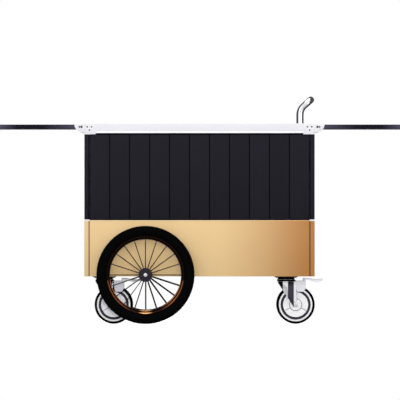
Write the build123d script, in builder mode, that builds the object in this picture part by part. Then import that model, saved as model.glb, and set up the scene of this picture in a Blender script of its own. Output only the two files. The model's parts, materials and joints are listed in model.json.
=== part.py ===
from build123d import *
import os
from math import cos, radians, sin

# Push vending cart: a clad box on a welded tube frame, with a table top that has a folding
# leaf at each end, two spoked wheels at its left end and four braked swivel casters.
# The origin is on the floor, under the middle of the cabinet. +X runs along the cart to the
# end with the push handle, the customer's side faces -Y, and +Z is up. Sizes are in mm.

# ---- overall sizes ----
cart_length = 1200
cart_depth = 760
table_height = 1045
split_height = 541          # the line between the boards and the skirts

# ---- sheets, boards and tubes ----
tube = 25
tube_wall = 1.5
weld_gap = 0.3              # room for the weld where a tube meets another
cover_t = 1.5
cover_gap = 8.5             # light strip between the upper and lower corner covers
board_t = 12
board_pitch = 104.3         # width that the boards are cut to, as near as the run allows
board_gap = 0.6
groove = 1.5                # chamfer on each long edge of a board
panel_gap = 1.0             # between a board or skirt and what it stands beside
skirt_t = 1.5
skirt_drop = 2.0            # how far skirts and covers hang below the frame
panel_t = 12                # floor panel and shelf
shelf_depth = 330

# ---- table top ----
table_t = 50
table_sheet = 2.0
table_lip = 22
core_t = 18
core_inset = 15

# ---- folding leaves and their hinges ----
leaf_length = 456           # from the cabinet's end to the leaf's tip
leaf_t = 24
leaf_drop = 5               # leaf surface below the table surface
leaf_board_t = 22
leaf_edge_t = 3.6
plate_t = 3.0
plate_length = 59
plate_drop = 56
layer_gap = 0.3             # between layers that slide past each other
hinge_reach = 15            # from the cabinet's end to the leaf's pivot
leaf_root = 5               # how far the leaf board starts inboard of its pivot
nose_r = 12
arm_length = 55
pivot_r = 4
pin_clearance = 0.05
screw_head_r = 4.2
screw_r = 2
screw_length = 15
arm_drop = 17               # arm's lower edge below the leaf
arm_rise = 2                # arm's upper edge above the leaf
arm_foot = 16               # length of the arm's lower edge
arm_slant = 11              # how far the arm's end leans back
arm_corner = 2
detent_offset = 11          # from the pivot to the sprung button
detent_r = 3

# ---- push handle ----
handle_r = 17.5
handle_wall = 2.0
handle_inset = 74           # from the cabinet's end to the uprights
handle_width = 600          # between the uprights' centres
handle_rise = 124           # from the table to the crossbar's centre
handle_reach = 55
handle_knee = 76            # height of the first bend above the table
knee_r = 60
grip_r = 32
handle_clearance = 0.5
socket_wall = 5

# ---- spoked wheels ----
wheel_r = 256
wheel_x = -281.5
wheel_gap = 20              # between the cabinet and the tyre
tyre_section = 53
tyre_wall = 4
rim_edge_r = 203
rim_inner_r = 185.6
rim_half_width = 18
rim_wall = 3
hub_r = 36.6
hub_body_r = 18
hub_half_length = 30
hub_flange_t = 4
hub_boss = 4
spoke_count = 20
spoke_r = 2
nipple_r = 3.4
nipple_length = 12
axle_r = 10
shoulder_r = 14
cap_nut_r = 11.5
cap_nut_length = 16
block_width = 60
block_t = 10
block_below = 18            # how far the axle's block reaches below the axle
block_above = 30

# ---- casters ----
caster_left_x = -497
caster_right_x = 453
caster_y = 200
caster_r = 100
caster_trail = 49
caster_tread = 12
caster_width = 44
caster_crown = 19           # from the tyre to the underside of the fork's crown
fork_t = 3
fork_inner = 28.5
crown_t = 6
head_t = 19
head_r = 46.5
head_top_r = 41
plate_x = 121
plate_y = 95
caster_plate_t = 6
bolt_x = 92
bolt_y = 67
bolt_r = 4
bolt_clearance = 0.5        # round the bolts, in the frame's rails
kingpin_r = 6
kingpin_head_r = 9
kingpin_head_t = 4.5
wheel_bolt_r = 6
core_hub_r = 31.8
core_ring_r = 78.6
core_recess_r = 65
core_rib_t = 8
fork_boss_r = 11.5          # round end of each fork leg
fork_toe = 4.2              # how far the fork reaches past the wheel's axis
fork_foot = 4               # how far the legs reach below the wheel's axis
fork_heel = -16.7           # where the legs' rear edge turns, from the swivel axis
guard_length = 48.5         # of the brake's housing, beside the fork
guard_drop = 51
shoe_gap = 6                # between the brake's shoe and the tread
brake_x = 44                # brake pivot from the swivel axis
brake_drop = 8              # brake pivot below the crown
brake_t = 3
brake_inner = 24.5
brake_pin_r = 4
pedal_reach = 191

# ---- doors ----
door_t = 11
door_gap = 2
door_top_drop = 9           # door's top edge below the table's underside
door_hinge_offset = 3.5     # pin centre proud of the corner cover
knuckle_r = 3.5
door_pin_r = 1.5
hinge_height = 60
hinge_leaf_t = 1.5
hinge_leaf_width = 24
pull_length = 160
pull_r = 5
pull_reach = 28
pull_inset = 40

# ---- sizes that follow ----
half_length = cart_length / 2
half_depth = cart_depth / 2
caster_height = 2 * caster_r + caster_crown + crown_t + head_t + caster_plate_t
base = caster_height                    # underside of the frame
table_bottom = table_height - table_t
post_x = half_length - cover_t - tube / 2
post_y = half_depth - cover_t - tube / 2
run_x = post_x - tube / 2               # half the run between posts, along the cart
run_y = post_y - tube / 2
face_x = half_length - cover_t          # outer face of the boards on the ends
face_y = half_depth - cover_t
back_x = face_x - board_t               # outer face of the rails on the ends
back_y = face_y - board_t
mid_low = split_height - tube / 2
mid_high = mid_low + tube
top_low = table_bottom - tube
skirt_low = base - skirt_drop
board_low = split_height + panel_gap / 2
skirt_high = split_height - panel_gap / 2
axle_z = wheel_r
wheel_y = half_depth + wheel_gap + tyre_section / 2
leaf_z = table_height - leaf_drop - leaf_t / 2
hinge_x = half_length + hinge_reach
plate_y0 = half_depth
arm_y0 = plate_y0 + plate_t + layer_gap
leaf_half_width = arm_y0 - leaf_edge_t
handle_x = half_length - handle_inset
crown_low = 2 * caster_r + caster_crown
fork_top = crown_low + crown_t
plate_low = fork_top + head_t
mount_y = [-bolt_y / 2, bolt_y / 2]
door_low = board_low + panel_gap
door_high = table_bottom - door_top_drop
door_face = face_y
door_pin_y = half_depth + door_hinge_offset
door_pin_x = run_x - panel_gap
sides = {"left": -1, "right": 1}
ends = {"front": -1, "rear": 1}
casters = {
    "front_left": (caster_left_x, -caster_y),
    "front_right": (caster_right_x, -caster_y),
    "rear_left": (caster_left_x, caster_y),
    "rear_right": (caster_right_x, caster_y),
}

os.makedirs("parts", exist_ok=True)


def write(piece, label):
    """Label a finished piece and write it under that name."""
    piece.part.label = label
    export_step(piece.part, f"parts/{label}.step")


def block(low, high, mode=Mode.ADD):
    """A box between two corners, given in any order along each axis."""
    size = [abs(b - a) for a, b in zip(low, high)]
    middle = [(a + b) / 2 for a, b in zip(low, high)]
    with Locations(tuple(middle)):
        Box(*size, mode=mode)


def tube_run(low, high):
    """A square tube between two corners, open at both ends of its longest side."""
    size = [b - a for a, b in zip(low, high)]
    wall = [0 if s == max(size) else tube_wall for s in size]
    block(low, high)
    block([a + w for a, w in zip(low, wall)], [b - w for b, w in zip(high, wall)], Mode.SUBTRACT)


def front_plane(y):
    """A plane that faces the customer, at depth y; its own x and y run along +X and +Z."""
    return Plane(origin=(0, y, 0), x_dir=(1, 0, 0), z_dir=(0, -1, 0))


def axial_plane(x, y, z):
    """A plane for turned pieces on an axis along Y: its x is axial and its y is radial."""
    return Plane(origin=(x, y, z), x_dir=(0, 1, 0), z_dir=(1, 0, 0))


def along_y(x, z, radius, low, high, mode=Mode.ADD):
    """A cylinder along Y between two depths."""
    with Locations(Plane(origin=(x, (low + high) / 2, z), z_dir=(0, 1, 0))):
        Cylinder(radius, abs(high - low), mode=mode)


def along_z(x, y, radius, low, high, mode=Mode.ADD):
    """A cylinder along Z between two heights."""
    with Locations((x, y, (low + high) / 2)):
        Cylinder(radius, abs(high - low), mode=mode)


# ---- welded frame ----
def caster_rail_centres():
    """Where the cross rails that carry the caster bolts stand along the cart."""
    return [x + dx for x in (caster_left_x, caster_right_x) for dx in (-bolt_x / 2, bolt_x / 2)]


with BuildPart() as frame_tubes:
    half = tube / 2
    for x in (-post_x, post_x):
        for y in (-post_y, post_y):
            tube_run((x - half, y - half, base), (x + half, y + half, table_bottom))
    for z in (base, mid_low, top_low):
        for side in (-1, 1):
            y_low, y_high = sorted((side * (back_y - tube), side * back_y))
            x_end = run_x - weld_gap
            tube_run((-x_end, y_low, z), (x_end, y_high, z + tube))
            x_low, x_high = sorted((side * (back_x - tube), side * back_x))
            y_end = back_y - tube - weld_gap
            tube_run((x_low, -y_end, z), (x_high, y_end, z + tube))
    for x in caster_rail_centres():
        tube_run((x - half, -y_end, base), (x + half, y_end, base + tube))
    for x in caster_rail_centres():
        for y in (-caster_y, caster_y):
            for dy in mount_y:
                hole_r = bolt_r + bolt_clearance
                along_z(x, y + dy, hole_r, base - 1, base + tube_wall + 1, Mode.SUBTRACT)
write(frame_tubes, "frame_tubes")

floor_low = base + tube
with BuildPart() as floor_panel:
    block((-back_x, -back_y, floor_low), (back_x, back_y, floor_low + panel_t))
    for x in (-post_x, post_x):
        for y in (-post_y, post_y):
            reach = tube / 2 + panel_gap
            block((x - reach, y - reach, floor_low), (x + reach, y + reach, floor_low + panel_t), Mode.SUBTRACT)
write(floor_panel, "floor_panel")

with BuildPart() as inner_shelf:
    shelf_front = -back_y
    block((-back_x, shelf_front, mid_high), (back_x, shelf_front + shelf_depth, mid_high + panel_t))
    for x in (-post_x, post_x):
        reach = tube / 2 + panel_gap
        low = (x - reach, -post_y - reach, mid_high)
        block(low, (x + reach, -post_y + reach, mid_high + panel_t), Mode.SUBTRACT)
write(inner_shelf, "inner_shelf")

# ---- table top ----
leaf_corners = [(x, y) for x in (-1, 1) for y in (-1, 1)]
screw_places = [(14.5, leaf_z), (37.5, leaf_z), (26, leaf_z - 17)]      # from the cabinet's end

with BuildPart() as table_top:
    block((-half_length, -half_depth, table_bottom), (half_length, half_depth, table_height))
    inner_x = half_length - table_sheet
    inner_y = half_depth - table_sheet
    inner_low = table_bottom + table_sheet
    block((-inner_x, -inner_y, inner_low), (inner_x, inner_y, table_height - table_sheet), Mode.SUBTRACT)
    mouth_x = half_length - table_lip
    mouth_y = half_depth - table_lip
    block((-mouth_x, -mouth_y, table_bottom), (mouth_x, mouth_y, inner_low), Mode.SUBTRACT)
    for y in (-handle_width / 2, handle_width / 2):
        hole_r = handle_r + handle_clearance
        along_z(handle_x, y, hole_r, table_bottom, table_height + 1, Mode.SUBTRACT)
    for side_x, side_y in leaf_corners:
        for from_end, z in screw_places:
            wall = (side_y * (half_depth - table_sheet), side_y * half_depth)
            hole_r = screw_r + pin_clearance
            along_y(side_x * (half_length - from_end), z, hole_r, *wall, Mode.SUBTRACT)
write(table_top, "table_top")

core_high = table_height - table_sheet
with BuildPart() as table_core:
    core_x = half_length - core_inset
    core_y = half_depth - core_inset
    block((-core_x, -core_y, core_high - core_t), (core_x, core_y, core_high))
    for y in (-handle_width / 2, handle_width / 2):
        along_z(handle_x, y, handle_r + handle_clearance, core_high - core_t, core_high, Mode.SUBTRACT)
write(table_core, "table_core")

# ---- boards, skirts and corner covers ----
def board_row(run):
    """How many boards fill a run between posts, and the width of each."""
    count = round(2 * run / board_pitch)
    pitch = (2 * run - panel_gap) / count
    return count, pitch


with BuildPart() as front_boards:
    count, pitch = board_row(run_x)
    with BuildSketch(Plane.XY.offset(board_low)):
        with Locations((0, -face_y + board_t / 2)):
            with GridLocations(pitch, 1, count, 1):
                Rectangle(pitch - board_gap, board_t)
        chamfer(vertices().group_by(Axis.Y)[0], groove)
    extrude(amount=table_bottom - board_low)
write(front_boards, "front_boards")

with BuildPart() as end_boards:
    count, pitch = board_row(run_y)
    with BuildSketch(Plane.XY.offset(board_low)):
        for side in (-1, 1):
            with Locations((side * (face_x - board_t / 2), 0)):
                with GridLocations(1, pitch, 1, count):
                    Rectangle(board_t, pitch - board_gap)
        outer = vertices().group_by(Axis.X)
        chamfer(outer[0] + outer[-1], groove)
    extrude(amount=table_bottom - board_low)
write(end_boards, "end_boards")

skirt_return = board_t
with BuildPart() as skirts:
    edge_x = run_x - panel_gap / 2
    edge_y = run_y - panel_gap / 2
    for side in (-1, 1):
        outer, inner = side * face_y, side * (face_y - skirt_return)
        block((-edge_x, outer, skirt_low), (edge_x, inner, skirt_high))
        low = (-edge_x + skirt_t, outer - side * skirt_t, skirt_low + skirt_t)
        block(low, (edge_x - skirt_t, inner, skirt_high - skirt_t), Mode.SUBTRACT)
        outer, inner = side * face_x, side * (face_x - skirt_return)
        block((outer, -edge_y, skirt_low), (inner, edge_y, skirt_high))
        low = (outer - side * skirt_t, -edge_y + skirt_t, skirt_low + skirt_t)
        block(low, (inner, edge_y - skirt_t, skirt_high - skirt_t), Mode.SUBTRACT)
        # the notch that the stub axle and its block stand in
        notch_r = shoulder_r + panel_gap
        along_y(wheel_x, axle_z, notch_r, side * face_y, side * (face_y - skirt_t), Mode.SUBTRACT)
        if axle_z > skirt_low:
            low = (wheel_x - notch_r, side * face_y, skirt_low)
            block(low, (wheel_x + notch_r, side * (face_y - skirt_t), axle_z), Mode.SUBTRACT)
        reach = block_width / 2 + panel_gap
        low = (wheel_x - reach, side * (face_y - skirt_t), skirt_low)
        block(low, (wheel_x + reach, side * (face_y - skirt_return), skirt_low + skirt_t), Mode.SUBTRACT)
write(skirts, "skirts")


def corner_covers(low_z, high_z):
    """Four bent angles that wrap the posts between two heights."""
    with BuildPart() as covers:
        wing = tube + cover_t
        for side_x in (-1, 1):
            for side_y in (-1, 1):
                corner = (side_x * half_length, side_y * half_depth, low_z)
                far = (side_x * (half_length - wing), side_y * (half_depth - wing), high_z)
                block(corner, far)
                inner = (side_x * (half_length - cover_t), side_y * (half_depth - cover_t), low_z)
                block(inner, far, Mode.SUBTRACT)
    return covers


write(corner_covers(split_height - cover_gap / 2 + cover_gap, table_bottom), "upper_corner_covers")
write(corner_covers(skirt_low, split_height - cover_gap / 2), "lower_corner_covers")

# ---- leaf hinges ----
plate_low_z = table_height - plate_drop

with BuildPart() as hinge_plates:
    for side_x, side_y in leaf_corners:
        outer = side_y * (plate_y0 + plate_t)
        x_end = side_x * half_length
        block((x_end, side_y * plate_y0, plate_low_z), (x_end - side_x * plate_length, outer, table_height))
        nose_low = leaf_z - nose_r
        block((x_end, side_y * plate_y0, nose_low), (side_x * hinge_x, outer, leaf_z + nose_r))
        along_y(side_x * hinge_x, leaf_z, nose_r, side_y * plate_y0, outer)
        hole = (side_x * hinge_x, leaf_z, pivot_r + pin_clearance, side_y * plate_y0, outer)
        along_y(*hole, Mode.SUBTRACT)
        for from_end, z in screw_places:
            with Locations(Plane(origin=(x_end - side_x * from_end, outer, z), z_dir=(0, side_y, 0))):
                CounterSinkHole(screw_r + pin_clearance, screw_head_r, plate_t)
write(hinge_plates, "hinge_plates")

with BuildPart() as hinge_screws:
    sink = screw_head_r - screw_r
    for side_x, side_y in leaf_corners:
        for from_end, z in screw_places:
            x = side_x * (half_length - from_end)
            head_y = side_y * (plate_y0 + plate_t)
            along_y(x, z, screw_r, head_y - side_y * sink, head_y - side_y * screw_length)
            top = Plane(origin=(x, head_y - side_y * sink / 2, z), z_dir=(0, side_y, 0))
            with Locations(top):
                Cone(screw_r, screw_head_r - pin_clearance, sink)
write(hinge_screws, "hinge_screws")

with BuildPart() as leaf_pivot_pins:
    pin_head_t = 1.5
    for side_x, side_y in leaf_corners:
        x = side_x * hinge_x
        head_y = arm_y0 + plate_t + layer_gap
        along_y(x, leaf_z, pivot_r, side_y * (plate_y0 + layer_gap), side_y * head_y)
        along_y(x, leaf_z, pivot_r + pin_head_t, side_y * head_y, side_y * (head_y + pin_head_t))
write(leaf_pivot_pins, "leaf_pivot_pins")

# ---- push handle ----
grip_z = table_height + handle_rise
grip_x = handle_x + handle_reach
socket_low = top_low
socket_high = core_high - core_t

# one bent arm and its mirror image, with a straight crossbar between them
with BuildPart() as push_handle:
    y = handle_width / 2
    crossbar_half = y - grip_r
    with BuildLine(mode=Mode.PRIVATE) as handle_path:
        FilletPolyline(
            (handle_x, y, socket_low),
            (handle_x, y, table_height + handle_knee),
            (grip_x, y, grip_z),
            (grip_x, 0, grip_z),
            radius=[knee_r, grip_r],
        )
    arm_edges = handle_path.edges().sort_by(Axis.Y, reverse=True)[:-1]
    with BuildSketch(Plane(origin=(handle_x, y, socket_low), z_dir=(0, 0, 1))):
        Circle(handle_r)
        Circle(handle_r - handle_wall, mode=Mode.SUBTRACT)
    sweep(path=Wire(arm_edges))
    mirror(about=Plane.XZ)
    along_y(grip_x, grip_z, handle_r, -crossbar_half, crossbar_half)
    along_y(grip_x, grip_z, handle_r - handle_wall, -crossbar_half, crossbar_half, Mode.SUBTRACT)
write(push_handle, "push_handle")

with BuildPart() as handle_sockets:
    socket_r = handle_r + pin_clearance + socket_wall
    for y in (-handle_width / 2, handle_width / 2):
        along_z(handle_x, y, socket_r, socket_low, socket_high)
        block((handle_x, y - socket_r / 2, socket_low), (back_x - tube, y + socket_r / 2, socket_low + tube))
        along_z(handle_x, y, handle_r + pin_clearance, socket_low, socket_high, Mode.SUBTRACT)
write(handle_sockets, "handle_sockets")

# ---- stub axles ----
with BuildPart() as wheel_axles:
    for side in (-1, 1):
        shoulder_y = wheel_y - hub_half_length - layer_gap
        nut_y = wheel_y + hub_half_length + layer_gap
        along_y(wheel_x, axle_z, axle_r, side * back_y, side * (nut_y - pin_clearance))
        along_y(wheel_x, axle_z, shoulder_r, side * (back_y + block_t), side * shoulder_y)
        nut_end = nut_y + cap_nut_length - cap_nut_r / 2
        along_y(wheel_x, axle_z, cap_nut_r, side * nut_y, side * nut_end)
        with Locations(Plane(origin=(wheel_x, side * (nut_end + cap_nut_r / 4), axle_z), z_dir=(0, side, 0))):
            Cone(cap_nut_r, cap_nut_r * cos(radians(45)), cap_nut_r / 2)
write(wheel_axles, "wheel_axles")

with BuildPart() as axle_blocks:
    for side in (-1, 1):
        low = (wheel_x - block_width / 2, side * back_y, min(axle_z - block_below, base))
        high = (wheel_x + block_width / 2, side * (back_y + block_t), max(axle_z + block_above, base + tube))
        block(low, high)
        along_y(wheel_x, axle_z, axle_r + pin_clearance, side * back_y, side * (back_y + block_t), Mode.SUBTRACT)
write(axle_blocks, "axle_blocks")

# ---- fixed parts of the casters ----
with BuildPart() as caster_plates:
    for x, y in casters.values():
        block((x - plate_x / 2, y - plate_y / 2, plate_low), (x + plate_x / 2, y + plate_y / 2, base))
        pin_low = crown_low - layer_gap
        along_z(x, y, kingpin_r, pin_low, plate_low)
        along_z(x, y, kingpin_head_r, pin_low - kingpin_head_t, pin_low)
        for dx in (-bolt_x / 2, bolt_x / 2):
            for dy in mount_y:
                along_z(x + dx, y + dy, bolt_r + pin_clearance, plate_low, base, Mode.SUBTRACT)
write(caster_plates, "caster_plates")

with BuildPart() as caster_bolts:
    hexagon_r = 7.5
    hexagon_t = 5.3
    bolt_top = base + tube_wall + 8
    for x, y in casters.values():
        with Locations((x, y, 0)):
            with GridLocations(bolt_x, bolt_y, 2, 2):
                with Locations((0, 0, (plate_low + bolt_top) / 2)):
                    Cylinder(bolt_r, bolt_top - plate_low)
    with BuildSketch(Plane.XY.offset(plate_low - hexagon_t)):
        for x, y in casters.values():
            with Locations((x, y)):
                with GridLocations(bolt_x, bolt_y, 2, 2):
                    RegularPolygon(hexagon_r, 6)
    extrude(amount=hexagon_t)
write(caster_bolts, "caster_bolts")

# ---- rear doors ----
hinge_centres = [door_low + 1.3 * hinge_height, door_high - 1.3 * hinge_height]
segment = hinge_height / 3
moving_r = door_pin_r + pin_clearance

with BuildPart() as door_hinges:
    for side in (-1, 1):
        pin_x = side * door_pin_x
        for middle in hinge_centres:
            low, high = middle - hinge_height / 2, middle + hinge_height / 2
            along_z(pin_x, door_pin_y, door_pin_r, low, high)
            for z in (low, high - segment):
                along_z(pin_x, door_pin_y, knuckle_r, z, z + segment)
                y_face = half_depth
                wing = (side * (run_x + hinge_leaf_width), y_face + hinge_leaf_t, z + segment)
                block((pin_x, y_face, z), wing)
write(door_hinges, "door_hinges")

for name, side in sides.items():
    free_x = side * door_gap / 2
    hinged_x = side * (run_x - door_gap)
    with BuildPart() as door:
        block((free_x, door_face, door_low), (hinged_x, door_face - door_t, door_high))
        width = abs(hinged_x - free_x)
        count = round(width / board_pitch)
        for i in range(1, count):
            x = free_x + side * width * i / count
            with BuildSketch(Plane.XY.offset(door_low)):
                with Locations((x, door_face)):
                    Rectangle(2 * groove, 2 * groove, rotation=45)
            extrude(amount=door_high - door_low, mode=Mode.SUBTRACT)
    write(door, f"{name}_door")

    with BuildPart() as pull:
        x = free_x + side * pull_inset
        middle = (door_low + door_high) / 2
        rod_y = door_face + pull_reach
        along_z(x, rod_y, pull_r, middle - pull_length / 2, middle + pull_length / 2)
        for z in (middle - pull_length / 3, middle + pull_length / 3):
            along_y(x, z, 0.8 * pull_r, door_face, rod_y)
    write(pull, f"{name}_door_pull")

    with BuildPart() as door_leaves:
        pin_x = side * door_pin_x
        for middle in hinge_centres:
            low = middle - segment / 2 + layer_gap
            high = middle + segment / 2 - layer_gap
            along_z(pin_x, door_pin_y, knuckle_r, low, high)
            wing_x = side * (run_x - door_gap - hinge_leaf_width)
            block((pin_x, door_face, low), (wing_x, door_face + hinge_leaf_t + 0.5, high))
            along_z(pin_x, door_pin_y, moving_r, low, high, Mode.SUBTRACT)
    write(door_leaves, f"{name}_door_leaves")

# ---- folding leaves ----
leaf_low = leaf_z - leaf_t / 2
leaf_high = leaf_z + leaf_t / 2
tip_x = half_length + leaf_length

for name, side in sides.items():
    root_x = side * (hinge_x - leaf_root)
    board_tip = side * (tip_x - leaf_edge_t)
    with BuildPart() as leaf:
        low = (root_x, -leaf_half_width, leaf_z - leaf_board_t / 2)
        block(low, (board_tip, leaf_half_width, leaf_z + leaf_board_t / 2))
    write(leaf, f"{name}_leaf")

    with BuildPart() as leaf_edge:
        edge_root = side * (hinge_x + nose_r + 4)
        outer_y = leaf_half_width + leaf_edge_t
        block((edge_root, -outer_y, leaf_low), (side * tip_x, outer_y, leaf_high))
        block((root_x, -leaf_half_width, leaf_low), (board_tip, leaf_half_width, leaf_high), Mode.SUBTRACT)
    write(leaf_edge, f"{name}_leaf_edge")

    with BuildPart() as leaf_arms:
        arm_low = leaf_low - arm_drop
        arm_high = leaf_high + arm_rise
        outline = [
            (half_length + layer_gap, arm_low),
            (half_length + arm_foot, arm_low),
            (half_length + arm_length - arm_slant, leaf_low - arm_rise),
            (half_length + arm_length, arm_high),
            (half_length + layer_gap, arm_high),
        ]
        for side_y in (-1, 1):
            outer = side_y * (arm_y0 + plate_t)
            with BuildSketch(front_plane(max(side_y * arm_y0, outer))):
                with BuildLine():
                    Polyline([(side * x, z) for x, z in outline], close=True)
                make_face()
                fillet(vertices(), arm_corner)
                with Locations((side * hinge_x, leaf_z)):
                    Circle(pivot_r + pin_clearance, mode=Mode.SUBTRACT)
            extrude(amount=plate_t)
            # the sprung detent's button, beside the pivot
            along_y(side * (hinge_x + detent_offset), leaf_z, detent_r, outer, outer + side_y * pin_head_t)
    write(leaf_arms, f"{name}_leaf_arms")

# ---- spoked wheels ----
for name, side in ends.items():
    centre_y = side * wheel_y
    wheel_plane = axial_plane(wheel_x, centre_y, axle_z)
    wheel_axis = Axis((wheel_x, centre_y, axle_z), (0, 1, 0))
    section_r = tyre_section / 2
    crown_r = wheel_r - section_r
    floor_r = rim_inner_r + rim_wall
    bead = rim_half_width - rim_wall - 0.1

    with BuildPart() as tyre:
        with BuildSketch(wheel_plane):
            with Locations((0, crown_r)):
                Circle(section_r)
            with Locations((0, (floor_r + crown_r) / 2)):
                Rectangle(2 * bead, crown_r - floor_r - 0.2)
            with Locations((0, crown_r)):
                Circle(section_r - tyre_wall, mode=Mode.SUBTRACT)
            with Locations((0, (floor_r + crown_r) / 2)):
                Rectangle(2 * (bead - tyre_wall), crown_r - floor_r + 1, mode=Mode.SUBTRACT)
        revolve(axis=wheel_axis)
    write(tyre, f"{name}_wheel_tyre")

    with BuildPart() as rim:
        with BuildSketch(wheel_plane):
            with BuildLine():
                Polyline(
                    (-rim_half_width, rim_edge_r),
                    (-rim_half_width, rim_inner_r + rim_wall),
                    (rim_wall - rim_half_width, rim_inner_r),
                    (rim_half_width - rim_wall, rim_inner_r),
                    (rim_half_width, rim_inner_r + rim_wall),
                    (rim_half_width, rim_edge_r),
                    close=True,
                )
            make_face()
            with Locations((0, rim_edge_r)):
                slot = 2 * (rim_half_width - rim_wall)
                Rectangle(slot, 2 * (rim_edge_r - floor_r), mode=Mode.SUBTRACT)
        revolve(axis=wheel_axis)
    write(rim, f"{name}_wheel_rim")

    with BuildPart() as hub:
        with BuildSketch(wheel_plane):
            flange_y = hub_half_length - hub_boss - hub_flange_t / 2
            with Locations((0, hub_body_r / 2)):
                Rectangle(2 * hub_half_length, hub_body_r)
            for dy in (-flange_y, flange_y):
                with Locations((dy, hub_r / 2)):
                    Rectangle(hub_flange_t, hub_r)
            bore = axle_r + pin_clearance
            with Locations((0, bore / 2)):
                Rectangle(2 * hub_half_length, bore, mode=Mode.SUBTRACT)
        revolve(axis=wheel_axis)
    write(hub, f"{name}_wheel_hub")

    with BuildPart() as spokes:
        for i in range(spoke_count):
            turn = radians(360 * i / spoke_count)
            lean = flange_y if i % 2 else -flange_y
            outward = Vector(sin(turn), 0, cos(turn))
            centre = Vector(wheel_x, centre_y, axle_z)
            start = centre + outward * (hub_r + 0.1) + Vector(0, lean, 0)
            finish = centre + outward * (rim_inner_r - 0.6) + Vector(0, lean / 4, 0)
            run = finish - start
            with Locations(Plane(origin=start + run / 2, z_dir=run)):
                Cylinder(spoke_r, run.length)
            nipple = run.normalized() * nipple_length
            with Locations(Plane(origin=finish - nipple / 2, z_dir=run)):
                Cylinder(nipple_r, nipple_length)
    write(spokes, f"{name}_wheel_spokes")

# ---- swivelling casters ----
crown_left = -head_r
crown_right = caster_trail + fork_toe
pivot_z = crown_low - brake_drop

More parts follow.
